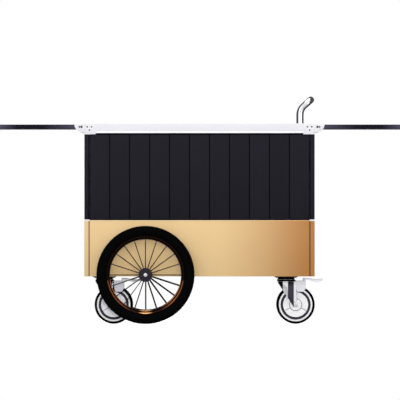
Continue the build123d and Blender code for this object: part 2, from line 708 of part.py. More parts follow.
for name, (swivel_x, swivel_y) in casters.items():
    axle_x = swivel_x + caster_trail
    wheel_plane = axial_plane(axle_x, swivel_y, caster_r)
    wheel_axis = Axis((axle_x, swivel_y, caster_r), (0, 1, 0))
    fork_outer = fork_inner + fork_t

    with BuildPart() as head:
        with BuildSketch(Plane(origin=(swivel_x, swivel_y, fork_top), x_dir=(1, 0, 0), z_dir=(0, -1, 0))):
            with BuildLine():
                top = head_t - layer_gap
                Polyline(
                    (kingpin_r + pin_clearance, 0),
                    (head_r, 0),
                    (head_r, 4),
                    (head_top_r + 2, 6),
                    (head_top_r + 2, 12),
                    (head_top_r, top),
                    (kingpin_r + pin_clearance, top),
                    close=True,
                )
            make_face()
        revolve(axis=Axis((swivel_x, swivel_y, 0), (0, 0, 1)))
    write(head, f"{name}_caster_head")

    leg = [
        (crown_left, fork_top),
        (crown_left, crown_low - 1),
        (fork_heel, crown_low - 47),
        (caster_trail - fork_boss_r + 0.5, caster_r - fork_foot),
        (crown_right, caster_r - fork_foot),
        (crown_right, fork_top),
    ]
    with BuildPart() as fork:
        for low in (-fork_outer, fork_inner):
            with BuildSketch(front_plane(swivel_y + low + fork_t)):
                with BuildLine():
                    Polyline([(swivel_x + x, z) for x, z in leg], close=True)
                make_face()
                with Locations((axle_x, caster_r)):
                    Circle(fork_boss_r)
                with Locations((axle_x, caster_r)):
                    Circle(wheel_bolt_r + pin_clearance, mode=Mode.SUBTRACT)
                with Locations((swivel_x + brake_x, pivot_z)):
                    Circle(brake_pin_r + pin_clearance, mode=Mode.SUBTRACT)
            extrude(amount=fork_t)
        low = (swivel_x + crown_left, swivel_y - fork_outer, crown_low)
        block(low, (swivel_x + crown_right, swivel_y + fork_outer, fork_top))
        along_z(swivel_x, swivel_y, kingpin_r + pin_clearance, crown_low, fork_top, Mode.SUBTRACT)
        # the wheel's bolt and the brake's pin, as pieces of their own
        head_low = fork_outer + pin_clearance
        bolt_end = head_low + 5
        along_y(axle_x, caster_r, wheel_bolt_r, swivel_y - bolt_end, swivel_y + bolt_end)
        along_y(axle_x, caster_r, 1.5 * wheel_bolt_r, swivel_y - bolt_end, swivel_y - head_low)
        along_y(axle_x, caster_r, 1.5 * wheel_bolt_r, swivel_y + head_low, swivel_y + bolt_end)
        along_y(swivel_x + brake_x, pivot_z, brake_pin_r, swivel_y - fork_outer, swivel_y + fork_outer)
    write(fork, f"{name}_caster_fork")

    guard_left = crown_right + 1
    guard_right = guard_left + guard_length
    guard_low = crown_low - guard_drop
    guard_high = fork_top - 1
    lug_r = brake_drop - 1
    with BuildPart() as brake:
        cheek = [
            (brake_x, pivot_z - lug_r),
            (guard_left + 4, guard_low),
            (guard_right - 14, guard_low - 1),
            (guard_right, guard_low + 17),
            (guard_right, guard_high),
            (guard_left, guard_high),
            (guard_left, pivot_z + lug_r),
            (brake_x, pivot_z + lug_r),
        ]
        for low in (-brake_inner - brake_t, brake_inner):
            with BuildSketch(front_plane(swivel_y + low + brake_t)):
                with BuildLine():
                    Polyline([(swivel_x + x, z) for x, z in cheek], close=True)
                make_face()
                with Locations((swivel_x + brake_x, pivot_z)):
                    Circle(lug_r)
                with Locations((swivel_x + brake_x, pivot_z)):
                    Circle(brake_pin_r + pin_clearance, mode=Mode.SUBTRACT)
            extrude(amount=brake_t)
        guard_y = brake_inner + brake_t
        roof = (swivel_x + guard_left, swivel_y - guard_y, guard_high - brake_t)
        block(roof, (swivel_x + guard_right, swivel_y + guard_y, guard_high))
        # the shoe that is pressed on the tread
        shoe_low = 2 * caster_r + shoe_gap
        low = (swivel_x + guard_left + 12, swivel_y - caster_width / 4, shoe_low)
        block(low, (swivel_x + guard_left + 28, swivel_y + caster_width / 4, guard_high - brake_t))
        pedal = [
            (guard_right - 14, guard_high - 1),
            (guard_right - 14, guard_high + 14),
            (guard_right + 12, guard_high + 13),
            (guard_right + 54, guard_high + 7),
            (pedal_reach, guard_high + 8.5),
            (pedal_reach, guard_high + 1),
            (guard_right + 54, guard_high - 7),
            (guard_right + 35, guard_high - 2.5),
            (guard_right, guard_high + 8),
            (guard_right, guard_high - 1),
        ]
        pedal_half = caster_width / 2
        with BuildSketch(front_plane(swivel_y + pedal_half)):
            with BuildLine():
                Polyline([(swivel_x + x, z) for x, z in pedal], close=True)
            make_face()
        extrude(amount=2 * pedal_half)
    write(brake, f"{name}_caster_brake")

    half_width = caster_width / 2
    tread_r = caster_r - caster_tread
    with BuildPart() as core:
        with BuildSketch(wheel_plane):
            bore = wheel_bolt_r + pin_clearance
            for low, high, half in (
                (bore, core_hub_r, fork_inner - 2),
                (bore, core_recess_r, half_width - 5),
                (bore, core_ring_r, half_width - 10),
                (core_ring_r, tread_r, half_width - 1),
            ):
                with Locations((0, (low + high) / 2)):
                    Rectangle(2 * half, high - low)
        revolve(axis=wheel_axis)
        with Locations(Plane(origin=wheel_axis.position, z_dir=(0, 1, 0))):
            with PolarLocations((core_hub_r + core_recess_r) / 2, 3, start_angle=30):
                Box(core_recess_r - core_hub_r + 2, core_rib_t, 2 * half_width - 4)
    write(core, f"{name}_caster_core")

    with BuildPart() as tyre:
        with BuildSketch(wheel_plane):
            with Locations((0, (tread_r + caster_r) / 2)):
                Rectangle(caster_width, caster_tread)
            fillet(vertices().group_by(Axis.Z)[-1], caster_tread / 3)
        revolve(axis=wheel_axis)
    write(tyre, f"{name}_caster_tyre")
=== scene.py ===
import json
from math import atan2, cos, pi, radians, sin, tan

import bpy
from bpy.props import FloatProperty, FloatVectorProperty, IntProperty, PointerProperty
from mathutils import Matrix, Vector


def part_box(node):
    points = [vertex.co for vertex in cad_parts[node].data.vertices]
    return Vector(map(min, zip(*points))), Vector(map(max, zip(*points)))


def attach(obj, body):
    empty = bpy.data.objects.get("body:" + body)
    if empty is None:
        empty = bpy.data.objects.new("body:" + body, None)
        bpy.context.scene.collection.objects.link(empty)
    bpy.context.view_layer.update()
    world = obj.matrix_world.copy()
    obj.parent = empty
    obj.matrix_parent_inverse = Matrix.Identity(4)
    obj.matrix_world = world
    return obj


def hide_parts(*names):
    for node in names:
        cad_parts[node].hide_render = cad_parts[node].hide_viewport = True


bl_info = {
    "name": "Push vending cart",
    "version": (1, 0, 0),
    "blender": (4, 5, 0),
    "location": "3D View > Sidebar > Cart",
    "description": "Models and finishes a clad vending cart around its fixed frame",
    "category": "Object",
}

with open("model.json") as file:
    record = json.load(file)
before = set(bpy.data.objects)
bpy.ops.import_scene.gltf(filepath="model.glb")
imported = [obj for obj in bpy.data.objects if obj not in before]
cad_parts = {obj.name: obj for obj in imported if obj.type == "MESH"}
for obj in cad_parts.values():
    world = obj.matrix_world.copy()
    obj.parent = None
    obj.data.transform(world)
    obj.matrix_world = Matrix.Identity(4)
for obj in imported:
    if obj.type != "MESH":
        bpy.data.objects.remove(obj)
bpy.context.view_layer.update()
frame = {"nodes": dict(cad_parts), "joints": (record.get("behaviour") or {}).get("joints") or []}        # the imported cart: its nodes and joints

MM = 0.001
WELD = 0.01 * MM         # points closer than this are one
BOARD_PITCH = 104.3 * MM
JOINTS = {joint["name"]: joint for joint in frame["joints"]}
SIDES = {"left": -1, "right": 1}
CASTERS = [f"{end}_{side}" for end in ("front", "rear") for side in SIDES]
ACROSS = Matrix.Scale(-1, 4, (0, 1, 0))  # mirrors a piece to the cart's other long side
BOARDS_PER_METRE = (9.59, 9.9, 0.0)      # along the front, along the ends, and not by height


def joint_place(name):
    """Where a joint's axis passes, in metres."""
    return Vector(JOINTS[name]["pos_m"])


# ---- settings -------------------------------------------------------------------------


def colour(name, description, value):
    """A colour setting with its linear default."""
    return FloatVectorProperty(
        name=name, description=description, default=value, size=3, min=0, max=1, subtype="COLOR"
    )


def length(name, description, value):
    """A length setting in metres."""
    return FloatProperty(name=name, description=description, default=value, min=0, unit="LENGTH")


class CartColours(bpy.types.PropertyGroup):
    """Colours of the cart's finishes."""

    enamel: colour("Enamel", "White enamel of the table and brackets", (0.765, 0.755, 0.80))
    lacquer: colour("Lacquer", "Black lacquer of the boards", (0.0125, 0.0115, 0.0175))
    # The two golds carry painted light: the gold is lit at the wheel end and painted darker, as shade,
    # towards the handle end.
    gold_lit: colour("Pale gold", "Gold paint at the wheel end", (0.775, 0.545, 0.265))
    gold_shaded: colour("Deep gold", "Gold paint at the handle end", (0.425, 0.165, 0.028))
    rubber: colour("Rubber", "Tyres and caster treads", (0.0014, 0.0014, 0.0014))
    copper: colour("Copper", "Rims of the spoked wheels", (0.36, 0.12, 0.038))
    chrome: colour("Chrome", "Handle, forks and cap nuts", (0.95, 0.945, 0.985))
    laminate: colour("Laminate", "Upper face of the leaves", (0.03, 0.028, 0.036))


class CartSizes(bpy.types.PropertyGroup):
    """Sizes of details that the frame leaves open."""

    edge_round: length("Edge rounding", "Radius on folded sheet edges", 1.2 * MM)
    door_round: length("Door rounding", "Radius on the doors' edges", 0.5 * MM)
    board_groove: length("Board groove", "Width of the groove between two boards", 4.6 * MM)
    lip_height: length("Lip height", "Bright lower lip of the table", 9 * MM)
    tread_depth: length("Tread depth", "Depth of the tyre's tread blocks", 1.4 * MM)
    turn_steps: IntProperty(
        name="Turning steps", description="Steps round a wheel rim", default=96, min=24, max=240
    )


def colours():
    return bpy.context.scene.cart_colours


def sizes():
    return bpy.context.scene.cart_sizes


# ---- modelling helpers ------------------------------------------------------------------


def clear_selection():
    """Nothing selected and edit mode left."""
    if bpy.context.object and bpy.context.object.mode == "EDIT":
        bpy.ops.object.mode_set(mode="OBJECT")
    bpy.ops.object.select_all(action="DESELECT")


def pick(piece):
    """Makes one piece the only one selected, and the active one."""
    clear_selection()
    piece.select_set(True)
    bpy.context.view_layer.objects.active = piece


def added_primitive():
    """The primitive just added, with its place and size applied to its mesh."""
    bpy.ops.object.transform_apply(location=True, rotation=True, scale=True)
    return bpy.context.object


def edit(piece):
    """Edit mode on one piece, with all of it selected."""
    pick(piece)
    bpy.ops.object.mode_set(mode="EDIT")
    bpy.ops.mesh.select_all(action="SELECT")


def select_faces(piece, test):
    """In edit mode, selects the faces whose centre and normal pass the test."""
    bpy.ops.mesh.select_mode(type="FACE")
    bpy.ops.mesh.select_all(action="DESELECT")
    bpy.ops.object.mode_set(mode="OBJECT")
    for face in piece.data.polygons:
        face.select = bool(test(face.center, face.normal))
    bpy.ops.object.mode_set(mode="EDIT")


def seal():
    """In edit mode, merges points that meet and turns all faces outwards."""
    bpy.ops.mesh.select_all(action="SELECT")
    bpy.ops.mesh.remove_doubles(threshold=WELD)
    bpy.ops.mesh.normals_make_consistent(inside=False)


def leave(piece, name, smooth=35):
    """Leaves edit mode, smooths the piece by angle and names it."""
    bpy.ops.object.mode_set(mode="OBJECT")
    if smooth:
        bpy.ops.object.shade_smooth_by_angle(angle=radians(smooth))
    piece.name = name
    piece.data.name = name
    return piece


def modified(piece, kind, **settings):
    """Gives a piece one modifier and applies it."""
    pick(piece)
    modifier = piece.modifiers.new("shaping", kind)
    for key, value in settings.items():
        setattr(modifier, key, value)
    bpy.ops.object.modifier_apply(modifier="shaping")


def softened(node, name, width, segments=2):
    """A copy of a CAD node with its flat faces merged and its edges rounded."""
    mesh = frame["nodes"][node].data.copy()
    mesh.materials.clear()
    piece = bpy.data.objects.new(name, mesh)
    bpy.context.scene.collection.objects.link(piece)
    edit(piece)
    bpy.ops.mesh.remove_doubles(threshold=WELD)
    bpy.ops.mesh.dissolve_limited(angle_limit=radians(0.6))
    bpy.ops.object.mode_set(mode="OBJECT")
    modified(piece, "BEVEL", width=width, segments=segments, limit_method="ANGLE", angle_limit=radians(30))
    return leave(piece, name, 40)


def box_piece(name, low, high, width, segments=3):
    """A block between two corners, with rounded edges."""
    clear_selection()
    low, high = Vector(low), Vector(high)
    bpy.ops.mesh.primitive_cube_add(size=1, location=(low + high) / 2, scale=high - low)
    piece = added_primitive()
    edit(piece)
    bpy.ops.mesh.bevel(offset=width, segments=segments, affect="EDGES")
    return leave(piece, name)


def trace(points):
    """Starts a piece as one vertex and extrudes it from point to point; edit mode stays on."""
    clear_selection()
    points = [Vector(point) for point in points]
    bpy.ops.mesh.primitive_plane_add(size=MM, location=points[0])
    piece = added_primitive()
    edit(piece)
    bpy.ops.mesh.merge(type="CENTER")
    bpy.ops.mesh.select_mode(type="VERT")
    bpy.ops.mesh.select_all(action="SELECT")
    for start, stop in zip(points, points[1:]):
        bpy.ops.mesh.extrude_vertices_move(TRANSFORM_OT_translate={"value": stop - start})
    bpy.ops.mesh.select_all(action="SELECT")
    return piece


def turned(name, profile, centre, axis="Y", steps=None, closed=True, smooth=35):
    """Spins a profile of (along, radius) pairs in millimetres round an axis through centre."""
    centre = Vector(centre)
    if axis == "Y":
        points = [centre + Vector((0, along, radius)) * MM for along, radius in profile]
        spin_axis = (0, 1, 0)
    else:
        points = [centre + Vector((radius, 0, along)) * MM for along, radius in profile]
        spin_axis = (0, 0, 1)
    if closed:
        points.append(points[0])
    piece = trace(points)
    bpy.ops.mesh.spin(steps=steps or sizes().turn_steps, angle=2 * pi, center=centre, axis=spin_axis)
    seal()
    return leave(piece, name, smooth)


def both_ways(half):
    """A half profile and its mirror image, as one profile."""
    return half + [(-along, radius) for along, radius in reversed(half)]


def half_size(node):
    """Half the size of a CAD node's box, in millimetres."""
    low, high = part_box(node)
    return (high - low) / 2 / MM


def sheet_piece(name, outline, depth, thickness, width):
    """A flat piece with an (x, z) outline at a depth y, thickened towards -Y and rounded."""
    points = [(x, depth, z) for x, z in outline]
    piece = trace(points + points[:1])
    bpy.ops.mesh.remove_doubles(threshold=WELD)
    bpy.ops.mesh.edge_face_add()
    bpy.ops.mesh.extrude_region_move(TRANSFORM_OT_translate={"value": (0, -thickness, 0)})
    seal()
    bpy.ops.mesh.bevel(offset=width, segments=2, affect="EDGES")
    return leave(piece, name)


def rod(name, start, stop, radius, vertices):
    """A round bar between two points, with its ends rounded off."""
    clear_selection()
    start, stop = Vector(start), Vector(stop)
    run = stop - start
    turn = run.to_track_quat("Z", "Y").to_euler()
    bpy.ops.mesh.primitive_cylinder_add(
        radius=radius, depth=run.length, vertices=vertices, location=(start + stop) / 2, rotation=turn
    )
    piece = added_primitive()
    edit(piece)
    direction = run.normalized()
    select_faces(piece, lambda centre, normal: abs(normal.dot(direction)) > 0.9)
    bpy.ops.mesh.bevel(offset=radius / 4, segments=2, affect="EDGES")
    return leave(piece, name)


def copied(piece, name, matrix):
    """A copy with its own mesh, moved by a matrix; a mirrored copy is turned right side out."""
    twin = bpy.data.objects.new(name, piece.data.copy())
    bpy.context.scene.collection.objects.link(twin)
    twin.data.transform(matrix)
    if matrix.determinant() < 0:
        twin.data.flip_normals()
    return twin


def joined(name, pieces):
    """Several pieces as one."""
    clear_selection()
    for piece in pieces:
        piece.select_set(True)
    bpy.context.view_layer.objects.active = pieces[0]
    bpy.ops.object.join()
    pieces[0].name = name
    pieces[0].data.name = name
    return pieces[0]


def place(piece, body, material, stands_for=()):
    """Gives a finished piece its material, its body and the CAD nodes it stands for."""
    piece.data.materials.append(material)
    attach(piece, body)
    if stands_for:
        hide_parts(*stands_for)
    return piece


def refinished(node, name, body, material, width, segments=2):
    """A softened copy of a CAD node, which it stands for."""
    return place(softened(node, name, width, segments), body, material, stands_for=[node])


# ---- shader helpers ---------------------------------------------------------------------


def put(tree, kind, sockets=None, **settings):
    """Adds a node; sockets maps inputs to values or to outputs that feed them."""
    made = tree.nodes.new(kind)
    for key, value in settings.items():
        setattr(made, key, value)
    for key, value in (sockets or {}).items():
        if isinstance(value, bpy.types.NodeSocket):
            tree.links.new(value, made.inputs[key])
        else:
            made.inputs[key].default_value = value
    return made


def maths(tree, operation, *values):
    """The result of a Math node."""
    return put(tree, "ShaderNodeMath", dict(enumerate(values)), operation=operation).outputs[0]


def vector_maths(tree, operation, sockets):
    """The result of a Vector Math node."""
    return put(tree, "ShaderNodeVectorMath", sockets, operation=operation).outputs[0]


def ranged(tree, value, low, high, to_low=0.0, to_high=1.0, interpolation="LINEAR"):
    """A value's place between low and high, mapped to another range."""
    sockets = {"Value": value, "From Min": low, "From Max": high, "To Min": to_low, "To Max": to_high}
    return put(tree, "ShaderNodeMapRange", sockets, interpolation_type=interpolation).outputs[0]


def noise(tree, where, scale, detail, roughness=0.5):
    """The value of a noise texture."""
    sockets = {"Vector": where, "Scale": scale, "Detail": detail, "Roughness": roughness}
    return put(tree, "ShaderNodeTexNoise", sockets).outputs[0]


def blended(tree, share, first, second):
    """One colour passing into another."""
    return put(tree, "ShaderNodeMix", {0: share, 6: first, 7: second}, data_type="RGBA").outputs[2]


def ramped(tree, share, stops):
    """A colour ramp through (position, colour) stops, the first at 0 and the last at 1."""
    ramp = put(tree, "ShaderNodeValToRGB", {0: share})
    elements = ramp.color_ramp.elements
    elements[0].color = rgba(stops[0][1])
    elements[1].color = rgba(stops[-1][1])
    for position, tone in stops[1:-1]:
        elements.new(position).color = rgba(tone)
    return ramp.outputs[0]


def coordinates(tree):
    """The piece's own coordinates."""
    return put(tree, "ShaderNodeTexCoord").outputs["Object"]


def split_coordinates(tree):
    """The piece's own coordinates, as three outputs."""
    return put(tree, "ShaderNodeSeparateXYZ", {0: coordinates(tree)}).outputs


def new_group(name, inputs, outputs):
    """An empty node group with named sockets, and the ends that its nodes link to."""
    tree = bpy.data.node_groups.new(name, "ShaderNodeTree")
    for label, (kind, value) in inputs.items():
        socket = tree.interface.new_socket(label, in_out="INPUT", socket_type=f"NodeSocket{kind}")
        socket.default_value = value
    for label, kind in outputs.items():
        tree.interface.new_socket(label, in_out="OUTPUT", socket_type=f"NodeSocket{kind}")
    return tree, tree.nodes.new("NodeGroupInput").outputs, tree.nodes.new("NodeGroupOutput").inputs


def mottle_group():
    """Slow tone variation: a colour made lighter and darker, and a mask of the same clouds."""
    tree, given, out = new_group(
        "tone_variation",
        {"Colour": ("Color", (1, 1, 1, 1)), "Scale": ("Float", 6.0), "Amount": ("Float", 0.1)},
        {"Colour": "Color", "Mask": "Float"},
    )
    clouds = noise(tree, coordinates(tree), given["Scale"], 5.0, 0.6)
    low = maths(tree, "SUBTRACT", 1.0, given["Amount"])
    high = maths(tree, "ADD", 1.0, given["Amount"])
    tone = ranged(tree, clouds, 0.3, 0.7, low, high)
    shade = vector_maths(tree, "SCALE", {0: given["Colour"], "Scale": tone})
    tree.links.new(shade, out["Colour"])
    tree.links.new(clouds, out["Mask"])
    return tree


def streak_group():
    """Fine lines along one direction, as brushing or wood grain leaves them: a height."""
    tree, given, out = new_group(
        "fine_streaks",
        {"Stretch": ("Vector", (1, 1, 1)), "Scale": ("Float", 60.0), "Depth": ("Float", 0.3)},
        {"Height": "Float"},
    )
    stretched = vector_maths(tree, "MULTIPLY", {0: coordinates(tree), 1: given["Stretch"]})
    lines = noise(tree, stretched, given["Scale"], 3.0, 0.7)
    tree.links.new(maths(tree, "MULTIPLY", lines, given["Depth"]), out["Height"])
    return tree


def dust_group():
    """Road dust that gathers near the ground: a colour with dust over it."""
    tree, given, out = new_group(
        "road_dust",
        {
            "Colour": ("Color", (0, 0, 0, 1)),
            "Dust": ("Color", (0.2, 0.18, 0.16, 1)),
            "Reach": ("Float", 0.3),
            "Amount": ("Float", 0.1),
        },
        {"Colour": "Color"},
    )
    fade = ranged(tree, split_coordinates(tree)["Z"], 0.0, given["Reach"], 1.0, 0.0)
    specks = noise(tree, coordinates(tree), 45.0, 6.0)
    mask = maths(tree, "MULTIPLY", maths(tree, "MULTIPLY", fade, specks), given["Amount"])
    tree.links.new(blended(tree, mask, given["Colour"], given["Dust"]), out["Colour"])
    return tree


def effect(tree, name, sockets):
    """Places one of the shared node groups, built at its first use, and gives its outputs."""
    builders = {"tone_variation": mottle_group, "fine_streaks": streak_group, "road_dust": dust_group}
    group = bpy.data.node_groups.get(name) or builders[name]()
    return put(tree, "ShaderNodeGroup", sockets, node_tree=group).outputs


def rgba(value):
    return (*value, 1.0)


class Surface:
    """A material under construction: a Principled shader fed by the shared effects."""

    def __init__(self, name, base, roughness, metallic=0.0, **constants):
        self.material = bpy.data.materials.new(name)
        self.material.use_nodes = True
        self.tree = self.material.node_tree
        self.inputs = self.tree.nodes["Principled BSDF"].inputs
        self.base = rgba(base)
        self.roughness = roughness
        self.height = None
        settings = {"Base_Color": self.base, "Roughness": roughness, "Metallic": metallic, **constants}
        for key, value in settings.items():
            self.inputs[key.replace("_", " ")].default_value = value

    def feed(self, colour):
        """Links an output to the base colour."""
        self.base = colour
        self.tree.links.new(colour, self.inputs["Base Color"])
        return self

    def mottled(self, scale, amount, rough=0.06):
        """Tone clouds in the colour and a little of them in the roughness."""
        made = effect(self.tree, "tone_variation", {"Colour": self.base, "Scale": scale, "Amount": amount})
        low = max(0.02, self.roughness - rough)
        high = min(1.0, self.roughness + rough)
        spread = ranged(self.tree, made["Mask"], 0.3, 0.7, low, high)
        self.tree.links.new(spread, self.inputs["Roughness"])
        return self.feed(made["Colour"])

    def dusty(self, reach, amount, dust=(0.2, 0.18, 0.16)):
        """Dust that fades out at a height above the ground."""
        sockets = {"Colour": self.base, "Dust": rgba(dust), "Reach": reach, "Amount": amount}
        return self.feed(effect(self.tree, "road_dust", sockets)["Colour"])

    def streaked(self, stretch, scale, depth):
        """Brushing or grain, as a height for the bump."""
        sockets = {"Stretch": stretch, "Scale": scale, "Depth": depth}
        self.height = effect(self.tree, "fine_streaks", sockets)["Height"]
        return self

    def grained(self, scale, depth):
        """Streaks with no direction: the fine orange peel of a coating."""
        return self.streaked((1, 1, 1), scale, depth)

    def done(self, strength=0.15, distance=0.0005):
        """Feeds the height, where there is one, to a Bump node."""
        if self.height is not None:
            sockets = {"Height": self.height, "Strength": strength, "Distance": distance}
            bump = put(self.tree, "ShaderNodeBump", sockets)
            self.tree.links.new(bump.outputs[0], self.inputs["Normal"])
        return self.material


def remembered(build):
    """Builds a material once and gives the same one afterwards."""
    kept = {}

    def get():
        if "made" not in kept:
            kept["made"] = build()
        return kept["made"]

    return get


# ---- materials --------------------------------------------------------------------------


@remembered
def white_enamel():
    return Surface("white_enamel", colours().enamel, 0.38).mottled(9, 0.015).grained(420, 0.4).done(0.08)


@remembered
def bright_lip():
    return Surface("bright_lip", (0.97, 0.97, 0.98), 0.25, Coat_Weight=0.4).mottled(12, 0.01).done()


@remembered
def black_lacquer():
    """Satin lacquer over boards: each board has its own slight tone, and the grain shows through."""
    surface = Surface("black_lacquer", colours().lacquer, 0.5, Specular_IOR_Level=0.08)
    tree = surface.tree
    boards = vector_maths(tree, "MULTIPLY", {0: coordinates(tree), 1: BOARDS_PER_METRE})
    shifted = vector_maths(tree, "ADD", {0: boards, 1: (0.5, 0.5, 0.0)})
    board = vector_maths(tree, "FLOOR", {0: shifted})
    chance = put(tree, "ShaderNodeTexWhiteNoise", {0: board}, noise_dimensions="3D").outputs[0]
    tone = ranged(tree, chance, 0.0, 1.0, 0.9, 1.12)
    surface.feed(vector_maths(tree, "SCALE", {0: tuple(colours().lacquer), "Scale": tone}))
    return surface.mottled(5, 0.05).streaked((14, 14, 0.7), 22, 1.0).done(0.12, 0.0004)


@remembered
def black_coat():
    surface = Surface("black_powder_coat", colours().lacquer, 0.42, Specular_IOR_Level=0.09)
    return surface.mottled(7, 0.06).grained(500, 0.5).done(0.1)


def painted_light_falloff(surface, lit_tone, shaded_tone):
    """Gives a surface painted light and shade: lit from the cart's middle, its colour deepens into painted
    shade towards the handle end.
    """
    tree = surface.tree
    along = ranged(tree, split_coordinates(tree)["X"], 0.06, 0.68, interpolation="SMOOTHSTEP")
    return surface.feed(blended(tree, along, rgba(lit_tone), rgba(shaded_tone)))


@remembered
def gold_paint():
    lit_tone, shaded_tone = colours().gold_lit, colours().gold_shaded
    surface = Surface("gold_paint", lit_tone, 0.45, 0.15, Coat_Weight=0.05, Coat_Roughness=0.3)
    # The gold's fall from lit to shaded along the cart is painted light.
    painted_light_falloff(surface, lit_tone, shaded_tone).mottled(4, 0.02, 0.04)
    return surface.dusty(0.3, 0.04, (0.9, 0.75, 0.5)).grained(900, 0.6).done(0.06)


@remembered
def painted_highlight_gold():
    # A brighter gold for the beads: a painted highlight along the skirts' upper edges, with the same painted
    # light and shade along the cart.
    lit_tone, shaded_tone = (0.93, 0.70, 0.38), (0.78, 0.40, 0.13)
    return painted_light_falloff(Surface("painted_highlight_gold", lit_tone, 0.35, 0.2), lit_tone, shaded_tone).mottled(6, 0.03).done()


@remembered
def shade_bronze():
    # Dark bronze strips of painted shade along the lower covers' inner edges, lit and shaded along the cart
    # like the gold.
    lit_tone, shaded_tone = (0.26, 0.15, 0.085), (0.13, 0.055, 0.022)
    surface = Surface("shade_bronze", lit_tone, 0.5, Specular_IOR_Level=0.15)
    return painted_light_falloff(surface, lit_tone, shaded_tone).mottled(12, 0.06).done()


@remembered
def shade_black():
    # Near-black painted shade: behind the board grooves, under the table's lip, above the skirts and along
    # the upper covers' inner edges.
    surface = Surface("shade_black", (0.0022, 0.0018, 0.004), 0.6, Specular_IOR_Level=0.03)
    return surface.mottled(12, 0.1).done()


@remembered
def dark_steel():
    surface = Surface("dark_plated_steel", (0.02, 0.017, 0.035), 0.45, 0.2, Specular_IOR_Level=0.15)
    return surface.mottled(40, 0.1).done()


@remembered
def chrome():
    return Surface("chrome", colours().chrome, 0.07, 1.0).mottled(14, 0.03, 0.03).done()


@remembered
def smoked_chrome():
    surface = Surface("smoked_chrome", (0.065, 0.06, 0.08), 0.2, 1.0)
    return surface.mottled(16, 0.06, 0.04).streaked((3, 3, 60), 30, 0.4).done(0.05)


@remembered
def zinc():
    return Surface("zinc_plate", (0.5, 0.5, 0.53), 0.38, 1.0).mottled(60, 0.12, 0.1).done()


@remembered
def nipple_steel():
    return Surface("nipple_steel", (0.12, 0.12, 0.17), 0.4, 0.6).mottled(60, 0.12, 0.1).done()


@remembered
def white_coat():
    surface = Surface("white_powder_coat", (0.78, 0.78, 0.8), 0.45)
    return surface.mottled(6, 0.02).grained(500, 0.5).done(0.08)


@remembered
def birch_ply():
    surface = Surface("birch_ply", (0.56, 0.4, 0.24), 0.55)
    return surface.mottled(3, 0.08).streaked((0.6, 12, 12), 20, 1.0).done(0.2)


@remembered
def laminate():
    surface = Surface("black_laminate", colours().laminate, 0.33, Specular_IOR_Level=0.4)
    return surface.mottled(3, 0.06).grained(260, 0.7).done(0.1)


@remembered
def edge_steel():
    """Polished steel of the leaves' edges, with painted reflection: lighter near the brackets and at the
    tips.
    """
    dark, light = (0.014, 0.013, 0.02), (0.10, 0.09, 0.14)
    surface = Surface("edge_steel", dark, 0.16, 1.0)
    tree = surface.tree
    away = maths(tree, "ABSOLUTE", split_coordinates(tree)["X"])
    # Painted reflection: the light stops near the brackets and at the tips.
    stops = [(0, light), (0.45, dark), (0.75, dark), (1, light)]
    surface.feed(ramped(tree, ranged(tree, away, 0.62, 1.06), stops))
    return surface.mottled(20, 0.05, 0.03).streaked((1, 60, 60), 20, 0.4).done(0.04)


@remembered
def tyre_rubber():
    surface = Surface("tyre_rubber", colours().rubber, 0.7, Specular_IOR_Level=0.02)
    return surface.mottled(18, 0.25).dusty(0.25, 0.003).grained(260, 1.0).done(0.25)


@remembered
def copper():
    """Copper with painted reflection: painted dark reflection over the top, painted light along the lower
    arcs, and a painted glint below.
    """
    warm, painted_glint, dark = colours().copper, (0.75, 0.36, 0.14), (0.022, 0.006, 0.003)
    surface = Surface("rim_copper", warm, 0.3, 0.9)
    tree = surface.tree
    centre = joint_place("front_wheel_spin")
    where = split_coordinates(tree)
    below = maths(tree, "SUBTRACT", centre.z, where["Z"])
    beside = maths(tree, "SUBTRACT", where["X"], centre.x)
    turn = maths(tree, "ABSOLUTE", maths(tree, "ARCTAN2", beside, below))
    # Painted reflection round the rim, by the angle from straight below the axle: a painted glint at the
    # bottom, then dark, then lit lower arcs, and dark over the top.
    stops = [
        (0, painted_glint), (0.02, painted_glint), (0.06, dark), (0.13, dark),
        (0.24, warm), (0.44, warm), (0.46, dark), (1, dark),
    ]
    surface.feed(ramped(tree, maths(tree, "DIVIDE", turn, pi), stops))
    return surface.mottled(30, 0.1, 0.06).streaked((1, 40, 1), 30, 0.5).done(0.06)


@remembered
def hub_paint():
    surface = Surface("hub_paint", (0.020, 0.017, 0.027), 0.45, Specular_IOR_Level=0.15)
    return surface.mottled(30, 0.08).done()


@remembered
def spoke_paint():
    surface = Surface("spoke_paint", (0.006, 0.004, 0.004), 0.5, Specular_IOR_Level=0.1)
    return surface.mottled(60, 0.15).done()


@remembered
def satin_black():
    surface = Surface("satin_black", (0.002, 0.002, 0.004), 0.5, Specular_IOR_Level=0.06)
    return surface.mottled(20, 0.1).done()


@remembered
def moulded_white():
    return Surface("moulded_white", (0.98, 0.98, 1.0), 0.3).mottled(25, 0.01).done()


@remembered
def moulded_grey():
    return Surface("moulded_grey", (0.92, 0.93, 1.0), 0.42).mottled(25, 0.02).grained(600, 0.5).done(0.08)


@remembered
def rib_shade_grey():
    # Grey painted shade for the ribs on the white wheel.
    return Surface("rib_shade_grey", (0.62, 0.61, 0.67), 0.4).mottled(25, 0.02).done()


@remembered
def dark_plate():
    surface = Surface("dark_plate", (0.06, 0.045, 0.035), 0.5, Specular_IOR_Level=0.2)
    return surface.mottled(25, 0.08).done()


@remembered
def navy_and_recess_shade():
    # Dark ring of painted shade in the wheel's recess; the navy collar round the hub shares it.
    return Surface("navy_and_recess_shade", (0.03, 0.03, 0.055), 0.3, 0.5).mottled(30, 0.1).done()


# ---- pieces -----------------------------------------------------------------------------


